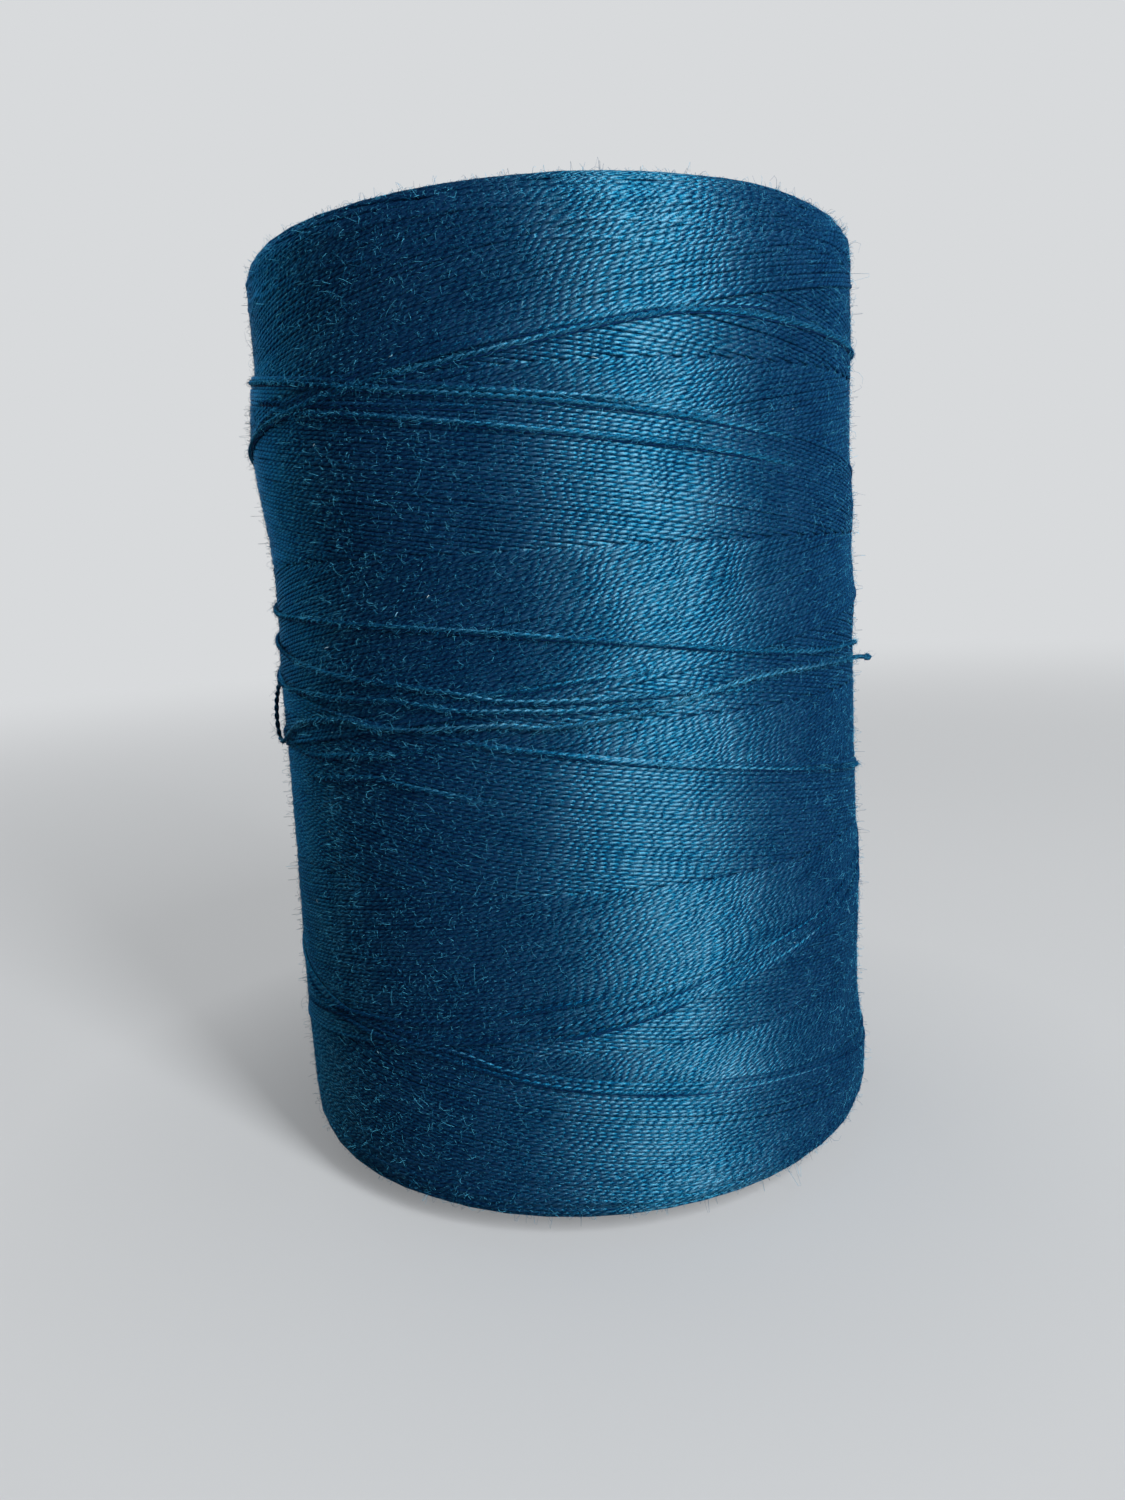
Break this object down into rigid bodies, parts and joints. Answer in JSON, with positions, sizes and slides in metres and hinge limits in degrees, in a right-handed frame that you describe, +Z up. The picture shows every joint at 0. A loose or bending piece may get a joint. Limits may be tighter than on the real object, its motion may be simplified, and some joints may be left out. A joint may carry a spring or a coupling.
{
  "type": "spool of thread",
  "caption": "Cylindrical cross-wound spool of sewing thread with rounded shoulders on a moulded core with a through bore, and a loose thread end across its front.",
  "frame": {"origin": "middle of the core's lower rim, on the surface that the spool stands on", "axes": "+Z up along the spool's axis, -Y towards the front, where the loose thread end crosses, +X to the right of it"},
  "size_m": [0.058, 0.0564, 0.0865],
  "materials": {
    "core_plastic": "moulded, satin",
    "thread": "two-ply spun thread, hairy, matt with a soft sheen"
  },
  "bodies": {
    "root": {"core": "core_plastic", "wound_body": "thread", "outer_turns": "thread", "thread_tail": "thread"}
  },
  "joints": []
}
